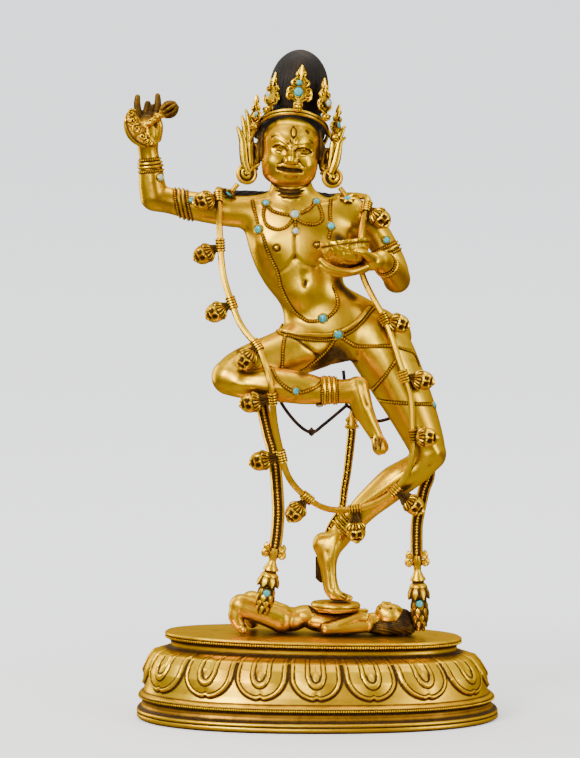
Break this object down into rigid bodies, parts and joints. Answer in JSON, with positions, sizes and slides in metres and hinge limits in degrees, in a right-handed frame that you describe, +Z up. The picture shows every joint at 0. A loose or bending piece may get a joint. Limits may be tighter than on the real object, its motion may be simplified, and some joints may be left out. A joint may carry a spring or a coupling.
{
  "type": "dancing dakini statue",
  "caption": "Gilt copper statue of a dancing wrathful goddess with chopper, skull cup and garland of heads, on a corpse and an oval lotus base.",
  "frame": {"origin": "middle of the base's underside, on the ground", "axes": "+Z up, -Y towards the viewer in front of the figure, +X to the viewer's right"},
  "size_m": [0.2228, 0.132, 0.3996],
  "materials": {
    "gilt_copper": "fire gilding over copper alloy, worn bright on the raised parts, brown in the recesses",
    "dark_bronze": "dark brown ungilded metal, matt",
    "turquoise": "polished turquoise",
    "pale_stone": "pale greenish white stone, polished"
  },
  "bodies": {
    "root": {"lotus_base": "gilt_copper", "corpse": "gilt_copper", "sun_disc": "gilt_copper", "figure": "gilt_copper", "skull_cup": "gilt_copper", "chopper": "gilt_copper", "head_garland": "gilt_copper", "pendant_right": "gilt_copper", "pendant_left": "gilt_copper", "pendant_back": "gilt_copper", "crown": "gilt_copper", "earring_right": "gilt_copper", "earring_left": "gilt_copper", "back_swag": "dark_bronze", "stone_crown_tip": "turquoise", "stone_crown_front": "turquoise", "stone_crown_far_right": "turquoise", "stone_crown_far_left": "turquoise", "stone_earring_right": "turquoise", "stone_earring_left": "turquoise", "stone_armlet_right": "turquoise", "stone_armlet_left": "turquoise", "stone_neck_right": "turquoise", "stone_neck_left": "turquoise", "stone_chest_right": "turquoise", "stone_chest_left": "turquoise", "stone_waist": "turquoise", "stone_belt": "turquoise", "stone_shin": "turquoise", "stone_thigh": "turquoise", "stone_anklet_left": "turquoise", "stone_pendant_right": "turquoise", "stone_pendant_left": "turquoise", "stone_crown_right": "pale_stone", "stone_crown_left": "pale_stone", "stone_wrist_right": "pale_stone", "stone_neck_front": "pale_stone", "stone_neck_drop": "pale_stone", "stone_anklet_right": "pale_stone"}
  },
  "joints": []
}
